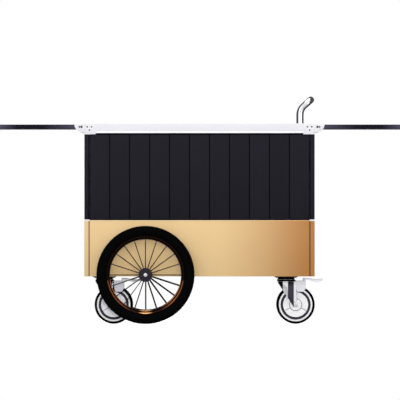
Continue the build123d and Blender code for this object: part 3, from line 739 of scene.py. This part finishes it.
class CART_OT_table(bpy.types.Operator):
    """Folded table sheet with its bright rolled lip"""

    bl_idname = "cart.table"
    bl_label = "Table"

    def execute(self, context):
        low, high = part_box("table_top")
        lip = sizes().lip_height
        top = box_piece("table_sheet", (low.x, low.y, low.z + lip), high, 2.5 * MM, 4)
        place(top, "cart", white_enamel(), stands_for=["table_top"])
        out, lap = 1.2 * MM, 0.5 * MM
        lip_low = (low.x - out, low.y - out, low.z)
        lip_high = (high.x + out, high.y + out, low.z + lip + lap)
        strip = box_piece("table_lip", lip_low, lip_high, 3.5 * MM, 4)
        place(strip, "cart", bright_lip())
        return {"FINISHED"}


class CART_OT_cladding(bpy.types.Operator):
    """Boards laid one by one over a dark tongue layer, gold skirts, corner covers, and painted shade in the
    grooves and along the covers' inner edges
    """

    bl_idname = "cart.cladding"
    bl_label = "Cladding"

    def execute(self, context):
        self.board_row("front_boards", 0)
        self.board_row("end_boards", 1)
        for node, name, slot, material in (
            ("skirts", "gold_skirts", "skirt_gold", gold_paint()),
            ("upper_corner_covers", "black_corners", "cover_black", black_coat()),
            ("lower_corner_covers", "gold_corners", "skirt_gold", gold_paint()),
        ):
            refinished(node, name, "cart", material, sizes().edge_round)
        self.cover_shade_strips("upper_corner_covers", "black_cover_shade", "cover_black", shade_black())
        self.cover_shade_strips("lower_corner_covers", "bronze_cover_shade", "skirt_gold", shade_bronze())
        self.beads()
        return {"FINISHED"}

    def board_row(self, node, along):
        """Boards between the posts, on the front (along 0) or on both ends (along 1)."""
        low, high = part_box(node)
        start, stop = low[along], high[along]
        depth, groove = 12 * MM, sizes().board_groove
        tongue_depth, tongue_back = 4 * MM, 11 * MM
        foot_trim, head_trim = 6 * MM, 9 * MM
        trim_front, trim_back = -0.3 * MM, 2 * MM
        count = round((stop - start) / BOARD_PITCH)
        pitch = (stop - start) / count
        faces = [(low[1 - along], 1)]
        if along == 1:
            faces.append((high[1 - along], -1))
        boards, board_shade_strips = [], []
        for face, inward in faces:

            def slab(first, last, outer, inner, bottom=low.z, top=high.z):
                """A rounded block along the row, between two depths behind the face."""
                corners = Vector((0, 0, bottom)), Vector((0, 0, top))
                depths = sorted((face + inward * outer, face + inward * inner))
                for corner, run, across in zip(corners, (first, last), depths):
                    corner[along] = run
                    corner[1 - along] = across
                thin = min(corners[1] - corners[0])
                return box_piece("slab", *corners, min(1.2 * MM, 0.3 * thin), 2)

            for i in range(count):
                edge = start + i * pitch
                boards.append(slab(edge + groove / 2, edge + pitch - groove / 2, 0, depth))
            # The dark layer behind the grooves and the thin strips at the boards' foot and head are painted
            # shade: in the grooves, under the table's lip and above the skirt.
            board_shade_strips.append(slab(start, stop, tongue_depth, tongue_back))
            board_shade_strips.append(slab(start, stop, trim_front, trim_back, top=low.z + foot_trim))
            board_shade_strips.append(slab(start, stop, trim_front, trim_back, bottom=high.z - head_trim))
        place(joined(f"{node}_laid", boards), "cart", black_lacquer(), stands_for=[node])
        place(joined(f"{node}_tongues", board_shade_strips), "cart", shade_black())

    def cover_shade_strips(self, node, name, slot, material):
        """Dark strips along the covers' inner edges, on the long sides and the ends: painted shade of the
        covers' rolled edges.
        """
        low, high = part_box(node)
        wing, width, proud = 26.5 * MM, 5.5 * MM, 0.5 * MM
        inset = wing - width / 2
        strips = []
        for right in (-1, 1):
            for rear in (-1, 1):
                x, y = right * high.x, rear * high.y
                for mid_x, mid_y, half_x, half_y in (
                    (x - right * inset, y, width / 2, proud),
                    (x, y - rear * inset, proud, width / 2),
                ):
                    near = (mid_x - half_x, mid_y - half_y, low.z)
                    far = (mid_x + half_x, mid_y + half_y, high.z)
                    strips.append(box_piece("seam", near, far, 0.3 * MM, 2))
        place(joined(name, strips), "cart", material)

    def beads(self):
        """Rolled beads along the skirts' upper edges, in a brighter gold: a painted highlight on the edge."""
        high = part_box("skirts")[1]
        corner, tall, proud = 27 * MM, 4.5 * MM, 0.6 * MM
        run_x, run_y = high.x - corner, high.y - corner
        strips = []
        for side in (-1, 1):
            x, y = side * high.x, side * high.y
            for low_x, high_x, low_y, high_y in (
                (-run_x, run_x, y - proud, y + proud),
                (x - proud, x + proud, -run_y, run_y),
            ):
                corners = (low_x, low_y, high.z - tall), (high_x, high_y, high.z)
                strips.append(box_piece("bead", *corners, 0.35 * MM, 2))
        place(joined("skirt_beads", strips), "cart", painted_highlight_gold())


class CART_OT_carcass(bpy.types.Operator):
    """Finishes of the welded frame, floor, shelf and fixed hardware"""

    bl_idname = "cart.carcass"
    bl_label = "Carcass"

    def execute(self, context):
        for node, name, width, slot, material in (
            ("frame_tubes", "welded_frame", 1.5 * MM, "frame_paint", white_coat()),
            ("floor_panel", "floor_sheet", 0.6 * MM, "panel_ply", birch_ply()),
            ("inner_shelf", "shelf_board", 0.8 * MM, "panel_ply", birch_ply()),
            ("table_core", "table_core_board", 0.6 * MM, "panel_ply", birch_ply()),
            ("handle_sockets", "handle_collars", 0.8 * MM, "frame_paint", white_coat()),
            ("axle_blocks", "axle_carriers", 1.0 * MM, "frame_paint", white_coat()),
            ("door_hinges", "fixed_butts", 0.3 * MM, "screw_dark", dark_steel()),
            ("caster_bolts", "caster_hex_bolts", 0.5 * MM, "caster_zinc", zinc()),
            ("caster_plates", "caster_top_plates", 0.8 * MM, "caster_zinc", dark_plate()),
        ):
            refinished(node, name, "cart", material, width)
        return {"FINISHED"}


class CART_OT_hinges(bpy.types.Operator):
    """Hinge plates, their countersunk screws in bright seats and the leaf pivots"""

    bl_idname = "cart.hinges"
    bl_label = "Leaf hinges"

    def execute(self, context):
        refinished("hinge_plates", "bracket_plates", "cart", white_enamel(), 0.7 * MM)
        head, seat = self.screw_and_seat(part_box("hinge_screws")[1].y)
        pivot_z = joint_place("right_leaf_fold").z
        half_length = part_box("table_top")[1].x
        spots = [(14.5, 0.0), (37.5, 0.0), (26.0, -17.0)]
        heads, seats = [], []
        for side in SIDES.values():
            for inward, drop in spots:
                x = side * (half_length - inward * MM)
                shift = Matrix.Translation((x, 0, pivot_z + drop * MM))
                for first, row in ((head, heads), (seat, seats)):
                    row.append(copied(first, "screw", shift))
                    row.append(copied(first, "screw", ACROSS @ shift))
        bpy.data.objects.remove(head)
        bpy.data.objects.remove(seat)
        place(joined("plate_screws", heads), "cart", satin_black(), stands_for=["hinge_screws"])
        place(joined("screw_seats", seats), "cart", bright_lip())
        refinished("leaf_pivot_pins", "leaf_pivots", "cart", dark_steel(), 0.5 * MM)
        return {"FINISHED"}

    def screw_and_seat(self, face):
        """One socket-headed screw and the ring round it, on the plates' outer face."""
        radius = 4.7
        screw = [
            (-1.6, 0), (-1.6, 0.45 * radius), (-0.1, 0.5 * radius), (0, 0.92 * radius),
            (-0.3, radius), (-2.2, 0.6 * radius), (-8, 0.5 * radius), (-8, 0),
        ]
        ring = [(0, 4.9), (0.3, 5.1), (0.3, 6.9), (0, 7.4)]
        head = turned("screw_head", screw, (0, face, 0), steps=20, closed=False)
        return head, turned("screw_seat", ring, (0, face, 0), steps=28)


class CART_OT_leaves(bpy.types.Operator):
    """Folding side leaves: laminate boards, polished edges and white arms"""

    bl_idname = "cart.leaves"
    bl_label = "Side leaves"

    def execute(self, context):
        for name, side in SIDES.items():
            body = f"{name}_leaf"
            for node, label, slot, material, width, segments in (
                (body, "board", "leaf_board", laminate(), 1.0 * MM, 2),
                (f"{body}_edge", "rim", "leaf_edge", edge_steel(), 3.0 * MM, 4),
                (f"{body}_arms", "brackets", "bracket_white", white_enamel(), 0.6 * MM, 2),
            ):
                refinished(node, f"{body}_{label}", body, material, width, segments)
            place(self.buttons(body, side), body, satin_black())
        return {"FINISHED"}

    def buttons(self, body, side):
        """Dark caps of the sprung detents, beside the pivots."""
        pivot = joint_place(f"{body}_fold")
        centre = (pivot.x + side * 11 * MM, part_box(f"{body}_arms")[1].y, pivot.z)
        profile = [(0, 0), (0, 4), (0.5, 4), (0.9, 3.4), (1, 0)]
        cap = turned("button", profile, centre, steps=20, closed=False)
        return joined(f"{body}_buttons", [cap, copied(cap, "button", ACROSS)])


class CART_OT_handle(bpy.types.Operator):
    """Bent push handle of chromed tube, with a ring where each arm enters the table"""

    bl_idname = "cart.handle"
    bl_label = "Push handle"

    def execute(self, context):
        low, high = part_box("push_handle")
        table_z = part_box("table_top")[1].z
        radius = 17.5 * MM
        foot = Vector((low.x + radius, low.y + radius, low.z))
        knee = Vector((foot.x, foot.y, table_z + 76 * MM))
        grip = Vector((high.x - radius, foot.y, high.z - radius))
        tube = self.half_tube(radius, foot, knee, grip)
        modified(tube, "MIRROR", use_axis=(False, True, False), merge_threshold=0.1 * MM)
        modified(tube, "SOLIDIFY", thickness=2 * MM, offset=-1)
        leave(tube, "handle_tube", 40)
        place(tube, "cart", chrome(), stands_for=["push_handle"])
        profile = [(0, 17.6), (0, 21), (0.8, 20.6), (1.4, 19), (1.4, 17.6)]
        ring = turned("handle_ring", profile, (foot.x, foot.y, table_z), "Z", 40)
        rings = joined("handle_rings", [ring, copied(ring, "ring", ACROSS)])
        place(rings, "cart", white_enamel())
        return {"FINISHED"}

    def half_tube(self, radius, foot, knee, grip):
        """A circle run up one arm, round its two bends and along to the crossbar's middle."""
        knee_r, grip_r = 60 * MM, 32 * MM
        lean = (grip - knee).normalized()
        turn = lean.angle(Vector((0, 0, 1)))
        knee_tangent = knee_r * tan(turn / 2)
        clear_selection()
        bpy.ops.mesh.primitive_circle_add(vertices=40, radius=radius, location=foot)
        tube = added_primitive()
        edit(tube)
        self.run(Vector((0, 0, knee.z - knee_tangent - foot.z)))
        centre = knee + Vector((knee_r, 0, -knee_tangent))
        bpy.ops.mesh.spin(steps=14, angle=-turn, center=centre, axis=(0, 1, 0))
        self.run(lean * ((grip - knee).length - knee_tangent - grip_r))
        centre = grip - lean * grip_r + Vector((0, grip_r, 0))
        axis = lean.cross(Vector((0, 1, 0)))
        bpy.ops.mesh.spin(steps=18, angle=-pi / 2, center=centre, axis=axis)
        self.run(Vector((0, -grip.y - grip_r, 0)))
        seal()
        bpy.ops.object.mode_set(mode="OBJECT")
        return tube

    def run(self, step):
        """Extrudes the open ring by a step."""
        bpy.ops.mesh.extrude_region_move(TRANSFORM_OT_translate={"value": step})


class CART_OT_wheels(bpy.types.Operator):
    """Spoked wheels: tyre, copper rim, spokes with nipples, hub and axle"""

    bl_idname = "cart.wheels"
    bl_label = "Spoked wheels"

    def execute(self, context):
        self.centre = joint_place("front_wheel_spin")
        for label, piece, material, slot, node in (
            ("tyre", self.tyre(), tyre_rubber(), "wheel_tyre", "wheel_tyre"),
            ("rim", self.rim(), copper(), "rim_copper", "wheel_rim"),
            ("hub", self.hub(), hub_paint(), "hub_dark", "wheel_hub"),
            ("spokes", self.spokes(), spoke_paint(), "spoke_steel", "wheel_spokes"),
            ("nipples", self.nipples(), nipple_steel(), "spoke_steel", None),
        ):
            rear = copied(piece, f"rear_{label}", ACROSS)
            for end, made in (("front", piece), ("rear", rear)):
                stands_for = [f"{end}_{node}"] if node else ()
                place(made, f"{end}_wheel", material, stands_for=stands_for)
        refinished("wheel_axles", "stub_axles", "cart", chrome(), 1.5 * MM, 3)
        return {"FINISHED"}

    def tyre(self):
        """Round section, sunk along the tread, where blocks rise back to the full size."""
        size = half_size("front_wheel_tyre")
        section, crown = size.y, size.z - size.y
        depth = sizes().tread_depth / MM
        bead, bead_r, wall_r = 14.4, 189.2, crown - 22
        tread_r = crown + 12
        reach, tread, line, line_half = 128, 62, 100, 5  # degrees from the crown's middle
        points = 28
        profile = [(-bead, bead_r), (-bead, wall_r)]
        for i in range(points + 1):
            turn = reach * (2 * i / points - 1)
            radius = section - (depth if abs(turn) < tread else 0)
            if abs(abs(turn) - line) < line_half:
                radius = section - depth / 2
            profile.append((radius * sin(radians(turn)), crown + radius * cos(radians(turn))))
        profile += [(bead, wall_r), (bead, bead_r)]
        steps, row_width, rows = 120, 4.5, 5
        piece = turned("front_tyre", profile, self.centre, steps=steps, smooth=25)
        edit(piece)

        def is_block(centre, normal):
            """Every other step of the tread, staggered from row to row."""
            offset = (centre - self.centre) / MM
            step = int(atan2(offset.x, offset.z) % (2 * pi) / (2 * pi) * steps)
            row = int(abs(offset.y) / row_width)
            radial = Vector((offset.x, offset.z)).length
            return radial > tread_r and row < rows and (step + row) % 2 == 0

        select_faces(piece, is_block)
        bpy.ops.mesh.inset(thickness=0.5 * MM, use_individual=True)
        rise = 0.98 * depth * MM
        bpy.ops.mesh.extrude_region_shrink_fatten(TRANSFORM_OT_shrink_fatten={"value": rise})
        return leave(piece, "front_tyre", 25)

    def rim(self):
        """Deep channel with rolled edges and a bead seat."""
        size = half_size("front_wheel_rim")
        half, edge, inner = size.y, size.z, 185.6
        side = [
            (half - 9, inner + 3.4), (half - 3, edge - 6), (half - 2.6, edge - 1), (half - 1, edge),
            (half, edge - 1), (half - 1, edge - 2), (half - 10, inner),
        ]
        other_side = [(-along, radius) for along, radius in reversed(side)]
        return turned("front_rim", side + [(0, inner - 0.4)] + other_side, self.centre)

    def hub(self):
        """Barrel between two flanges, with stepped ends."""
        size = half_size("front_wheel_hub")
        half, flange, bore = size.y, size.z, 10.05
        side = [
            (half, bore), (half, 15), (half - 1, 16.5), (half - 4, 17), (half - 4, flange - 1.2),
            (half - 5, flange), (half - 7, flange), (half - 8, flange - 1.2), (half - 8, 20), (half - 12, 17),
        ]
        return turned("front_hub", both_ways(side), self.centre, steps=64)

    def each_spoke(self, start_r, stop_r, start_share, stop_share):
        """End points of every spoke, or of a stretch of it given as shares of its lean."""
        count, lean = 20, 24 * MM
        for i in range(count):
            turn = 2 * pi * i / count
            outward = Vector((sin(turn), 0, cos(turn)))
            sideways = Vector((0, lean if i % 2 else -lean, 0))
            yield (
                self.centre + outward * start_r + sideways * start_share,
                self.centre + outward * stop_r + sideways * stop_share,
            )

    def spokes(self):
        ends = self.each_spoke(36 * MM, 184 * MM, 1.0, 0.26)
        return joined("front_spokes", [rod("spoke", start, stop, 2.3 * MM, 12) for start, stop in ends])

    def nipples(self):
        ends = self.each_spoke(171 * MM, 184.8 * MM, 0.32, 0.25)
        return joined("front_nipples", [rod("nipple", start, stop, 2.9 * MM, 6) for start, stop in ends])


class CART_OT_casters(bpy.types.Operator):
    """Braked swivel casters, modelled once and copied to their four places"""

    bl_idname = "cart.casters"
    bl_label = "Casters"

    def execute(self, context):
        first = CASTERS[0]
        start = joint_place(f"{first}_swivel_turn")
        self.axle = joint_place(f"{first}_roller_spin")
        black, grey = satin_black(), moulded_grey()
        rows = [
            (self.race(start), "race", "swivel", "caster_black", black, "head"),
            (self.race_lip(start), "race_lip", "swivel", "fork_chrome", chrome(), None),
            (self.crown_cap(start), "crown_cap", "swivel", "caster_black", black, None),
            (self.heels(start), "fork_heels", "swivel", "fork_chrome", black, None),
            (self.bands(start), "fork_bands", "swivel", "fork_chrome", smoked_chrome(), None),
            (self.ribs(), "wheel_ribs", "roller", "core_white", rib_shade_grey(), None),
            (self.bolt_caps(), "bolt_caps", "swivel", "fork_chrome", chrome(), None),
            (self.wheel_body(), "wheel_body", "roller", "core_white", moulded_white(), "core"),
            (self.recess(), "wheel_recess", "roller", "core_white", navy_and_recess_shade(), None),
            (self.tread(), "tread", "roller", "caster_tread", tyre_rubber(), "tyre"),
            (self.pedal_ridges(start), "pedal_ridges", "brake", "brake_white", grey, None),
        ]
        for name in CASTERS:
            prefix = f"{name}_caster"
            for node, label, part, slot, material, width in (
                ("fork", "yoke", "swivel", "fork_chrome", chrome(), 0.9 * MM),
                ("brake", "lever", "brake", "brake_white", grey, 1.6 * MM),
            ):
                made = f"{prefix}_{label}"
                refinished(f"{prefix}_{node}", made, f"{name}_{part}", material, width, 3)
            shift = Matrix.Translation(joint_place(f"{name}_swivel_turn") - start)
            for piece, label, part, slot, material, node in rows:
                copy = copied(piece, f"{prefix}_{label}", shift)
                stands_for = [f"{prefix}_{node}"] if node else ()
                place(copy, f"{name}_{part}", material, stands_for=stands_for)
        for row in rows:
            bpy.data.objects.remove(row[0])
        return {"FINISHED"}

    def on_kingpin(self, name, profile, kingpin):
        """Spins a profile of (height above the floor, radius) pairs round the kingpin."""
        return turned(name, profile, (kingpin.x, kingpin.y, 0), "Z", 64)

    def race(self, kingpin):
        """Black housing of the ball races."""
        profile = [
            (225.1, 7), (225.1, 45.5), (226, 46.5), (229.5, 46.5), (230.8, 45), (231.4, 43.5),
            (233, 43), (239, 42.6), (242, 41.6), (243.6, 39.5), (243.6, 7),
        ]
        return self.on_kingpin("race", profile, kingpin)

    def race_lip(self, kingpin):
        """Bright seam round the housing."""
        profile = [(231, 43.2), (231, 45.4), (232.8, 45.2), (232.8, 43)]
        return self.on_kingpin("race_lip", profile, kingpin)

    def crown_cap(self, kingpin):
        """Dark plate over the fork's crown."""
        low = (kingpin.x - 44 * MM, kingpin.y - 32.4 * MM, 221.2 * MM)
        high = (kingpin.x + 50.5 * MM, kingpin.y + 32.4 * MM, 225.4 * MM)
        return box_piece("crown_cap", low, high, 0.8 * MM, 2)

    def heels(self, kingpin):
        """Black heels behind the kingpin, with the leg's slanted edge."""
        return self.on_legs("fork_heels", [(-42, 221), (-18, 221), (-18, 177), (-42, 214)], kingpin)

    def bands(self, kingpin):
        """Dark pressed bands down the middle of both legs."""
        return self.on_legs("fork_bands", [(8.7, 221), (39.5, 221), (39.5, 86), (8.7, 135)], kingpin)

    def on_legs(self, name, outline, kingpin):
        """A thin plate on each leg; its outline counts from the kingpin and from the floor."""
        points = [(kingpin.x + x * MM, z * MM) for x, z in outline]
        plate = sheet_piece(name, points, kingpin.y - 31.5 * MM, 0.9 * MM, 0.35 * MM)
        about = Matrix.Translation((0, kingpin.y, 0))
        return joined(name, [plate, copied(plate, name, about @ ACROSS @ about.inverted())])

    def on_both_faces(self, name, profile, steps, closed=True):
        """Spins a profile round the axle, on the wheel's outer and inner face."""
        pieces = []
        for face in (1, -1):
            points = [(face * along, radius) for along, radius in profile]
            pieces.append(turned(name, points, self.axle, steps=steps, closed=closed))
        return joined(name, pieces)

    def wheel_body(self):
        """Moulded hub, web and rim in one."""
        hub = [(26.3, 6.1), (26.3, 14), (25.5, 16), (22, 17), (22, 29.5), (21, 31.8), (16, 32.4)]
        web = [(15.5, 36), (16, 58), (17.5, 62), (17, 65), (12.5, 65.6), (12.5, 78.2)]
        rim = [(20, 78.8), (21, 80.5), (21, 86.5), (20.4, 88)]
        return turned("wheel_body", both_ways(hub + web + rim), self.axle, steps=64)

    def ribs(self):
        """Three ribs on each face of the web, in grey: painted shade on the white wheel."""
        low, high = Vector((-3.5, -2.2, 31)) * MM, Vector((3.5, 2.2, 63)) * MM
        ribs = []
        for turn in (0, 120, 240):
            for face in (-1, 1):
                rib = box_piece("rib", low, high, 1.2 * MM, 2)
                rib.data.transform(Matrix.Rotation(radians(-turn), 4, "Y"))
                rib.data.transform(Matrix.Translation(self.axle + Vector((0, face * 16 * MM, 0))))
                ribs.append(rib)
        return joined("wheel_ribs", ribs)

    def recess(self):
        """Dark ring inside the rim, painted shade of the recess, and a dark navy collar round the hub."""
        ring = self.on_both_faces("ring", [(12.5, 65.7), (13.4, 66.5), (13, 77.6), (12.5, 78.1)], 64)
        profile = [(22, 30.6), (22.9, 30.9), (22.9, 32.6), (21, 32.9), (21, 31.6)]
        return joined("wheel_recess", [ring, self.on_both_faces("collar", profile, 64)])

    def tread(self):
        shoulder = [(-21.2, 87.4), (-22, 87.8), (-22, 97), (-21, 99), (-18, 99.8)]
        other = [(-along, radius) for along, radius in reversed(shoulder)]
        return turned("tread", shoulder + [(0, 100)] + other, self.axle, steps=80)

    def bolt_caps(self):
        profile = [(31.6, 0), (31.6, 9), (32.4, 9.3), (35, 8.6), (36.4, 5.5), (36.6, 0)]
        return self.on_both_faces("bolt_caps", profile, 24, closed=False)

    def pedal_ridges(self, kingpin):
        """Moulded grip ridges across the foot pedal."""
        count, pitch, half_width = 5, 5 * MM, 18 * MM
        ridges = []
        for i in range(count):
            x = kingpin.x + 168 * MM + i * pitch
            top = 231.3 * MM + i * 0.3 * MM
            low = (x, kingpin.y - half_width, top - 1 * MM)
            high = (x + 2 * MM, kingpin.y + half_width, top + 1.2 * MM)
            ridges.append(box_piece("ridge", low, high, 0.5 * MM, 2))
        return joined("pedal_ridges", ridges)


class CART_OT_doors(bpy.types.Operator):
    """Rear doors with their pulls and hinge leaves"""

    bl_idname = "cart.doors"
    bl_label = "Rear doors"

    def execute(self, context):
        for name in SIDES:
            body = f"{name}_door"
            for node, label, slot, material, width, segments in (
                (body, "panel", "board_black", black_lacquer(), sizes().door_round, 2),
                (f"{body}_pull", "handle", "handle_chrome", chrome(), 1.0 * MM, 3),
                (f"{body}_leaves", "butts", "screw_dark", dark_steel(), 0.3 * MM, 2),
            ):
                refinished(node, f"{body}_{label}", body, material, width, segments)
        return {"FINISHED"}


# ---- stage --------------------------------------------------------------------------------


class CART_OT_stage(bpy.types.Operator):
    """Pale floor, soft studio light and the camera"""

    bl_idname = "cart.stage"
    bl_label = "Stage"

    def execute(self, context):
        context.scene.view_settings.view_transform = "Standard"
        self.floor()
        self.sky()
        self.softbox("key_left", (-2.6, -3.2, 1.9), (0, -0.4, 0.6), 2.4, 13)
        self.softbox("fill_right", (2.8, -3.4, 1.2), (0, -0.4, 0.6), 2.0, 12)
        self.softbox("back_left", (-2.4, 3.6, 1.8), (0, 0.3, 0.6), 2.2, 46, mirrored=False)
        self.softbox("back_right", (2.6, 3.2, 1.5), (0, 0.3, 0.5), 2.2, 34, mirrored=False)
        self.softbox("front_fill", (-0.2, -8, 0.6), (-0.1, 0, 0.5), 0.7, 165, mirrored=False)
        self.softbox("top_light", (0, -0.6, 3.6), (0, 0, 0.6), 2.6, 52)
        self.camera()
        return {"FINISHED"}

    def floor(self):
        """A round floor that looks as white as the sky behind it."""
        clear_selection()
        bpy.ops.mesh.primitive_circle_add(vertices=96, radius=5, fill_type="NGON", location=(0, 0, -0.8 * MM))
        floor = added_primitive()
        edit(floor)
        bpy.ops.mesh.inset(thickness=1.5)
        leave(floor, "studio_floor", smooth=0)
        white = (1, 1, 1, 1)
        surface = Surface("pale_floor", (0.7, 0.7, 0.72), 0.7, Specular_IOR_Level=0.05, Emission_Color=white)
        path = put(surface.tree, "ShaderNodeLightPath")
        glow = maths(surface.tree, "MULTIPLY", path.outputs["Is Camera Ray"], 0.9)
        surface.tree.links.new(glow, surface.inputs["Emission Strength"])
        floor.data.materials.append(surface.mottled(1.5, 0.01).done())

    def sky(self):
        """White behind the cart; what reflects is bright in front and above and dim behind."""
        world = bpy.data.worlds.new("studio")
        bpy.context.scene.world = world
        world.use_nodes = True
        tree = world.node_tree
        tree.nodes.clear()
        where = put(tree, "ShaderNodeTexCoord").outputs["Generated"]
        towards = (-0.1, -0.92, 0.36)
        facing = put(tree, "ShaderNodeVectorMath", {0: where, 1: towards}, operation="DOT_PRODUCT")
        strength = ranged(tree, facing.outputs["Value"], 0.3, 0.72, 0.08, 0.82, "SMOOTHSTEP")
        white = (1, 1, 1, 1)
        lit = put(tree, "ShaderNodeBackground", {"Color": white, "Strength": strength})
        seen = put(tree, "ShaderNodeBackground", {"Color": white, "Strength": 1.0})
        path = put(tree, "ShaderNodeLightPath")
        sockets = {0: path.outputs["Is Camera Ray"], 1: lit.outputs[0], 2: seen.outputs[0]}
        mix = put(tree, "ShaderNodeMixShader", sockets)
        put(tree, "ShaderNodeOutputWorld", {0: mix.outputs[0]})

    def softbox(self, name, at, towards, size, power, mirrored=True):
        """A square area light; one that isn't mirrored leaves no spot in polished metal."""
        light = bpy.data.lights.new(name, "AREA")
        light.shape = "SQUARE"
        light.size = size
        light.energy = power
        lamp = bpy.data.objects.new(name, light)
        lamp.location = at
        lamp.rotation_euler = (Vector(towards) - Vector(at)).to_track_quat("-Z", "Y").to_euler()
        lamp.visible_glossy = mirrored
        bpy.context.scene.collection.objects.link(lamp)

    def camera(self):
        """Level long-lens view of the customer's side."""
        data = bpy.data.cameras.new("front_view")
        data.lens = 1600
        data.clip_start = 10
        data.clip_end = 500
        middle_x, height = 0.0026, 0.6465
        width = 2.0854            # seen across, at the table's front edge
        distance = width * data.lens / data.sensor_width
        camera = bpy.data.objects.new("front_view", data)
        camera.location = (middle_x, -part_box("table_top")[1].y - distance, height)
        camera.rotation_euler = (radians(90), 0, 0)
        bpy.context.scene.collection.objects.link(camera)
        bpy.context.scene.camera = camera


OPERATORS = (
    CART_OT_stage,
    CART_OT_table,
    CART_OT_cladding,
    CART_OT_carcass,
    CART_OT_hinges,
    CART_OT_leaves,
    CART_OT_handle,
    CART_OT_wheels,
    CART_OT_casters,
    CART_OT_doors,
)


class CART_PT_panel(bpy.types.Panel):
    bl_label = "Push vending cart"
    bl_idname = "CART_PT_panel"
    bl_space_type = "VIEW_3D"
    bl_region_type = "UI"
    bl_category = "Cart"

    def draw(self, context):
        for operator in OPERATORS:
            self.layout.operator(operator.bl_idname)


CLASSES = (CartColours, CartSizes) + OPERATORS + (CART_PT_panel,)


def register():
    for cls in CLASSES:
        bpy.utils.register_class(cls)
    bpy.types.Scene.cart_colours = PointerProperty(type=CartColours)
    bpy.types.Scene.cart_sizes = PointerProperty(type=CartSizes)


def unregister():
    del bpy.types.Scene.cart_sizes
    del bpy.types.Scene.cart_colours
    for cls in reversed(CLASSES):
        bpy.utils.unregister_class(cls)


def main():
    register()
    for operator in OPERATORS:
        group, name = operator.bl_idname.split(".")
        getattr(getattr(bpy.ops, group), name)()


if __name__ == "__main__":
    main()
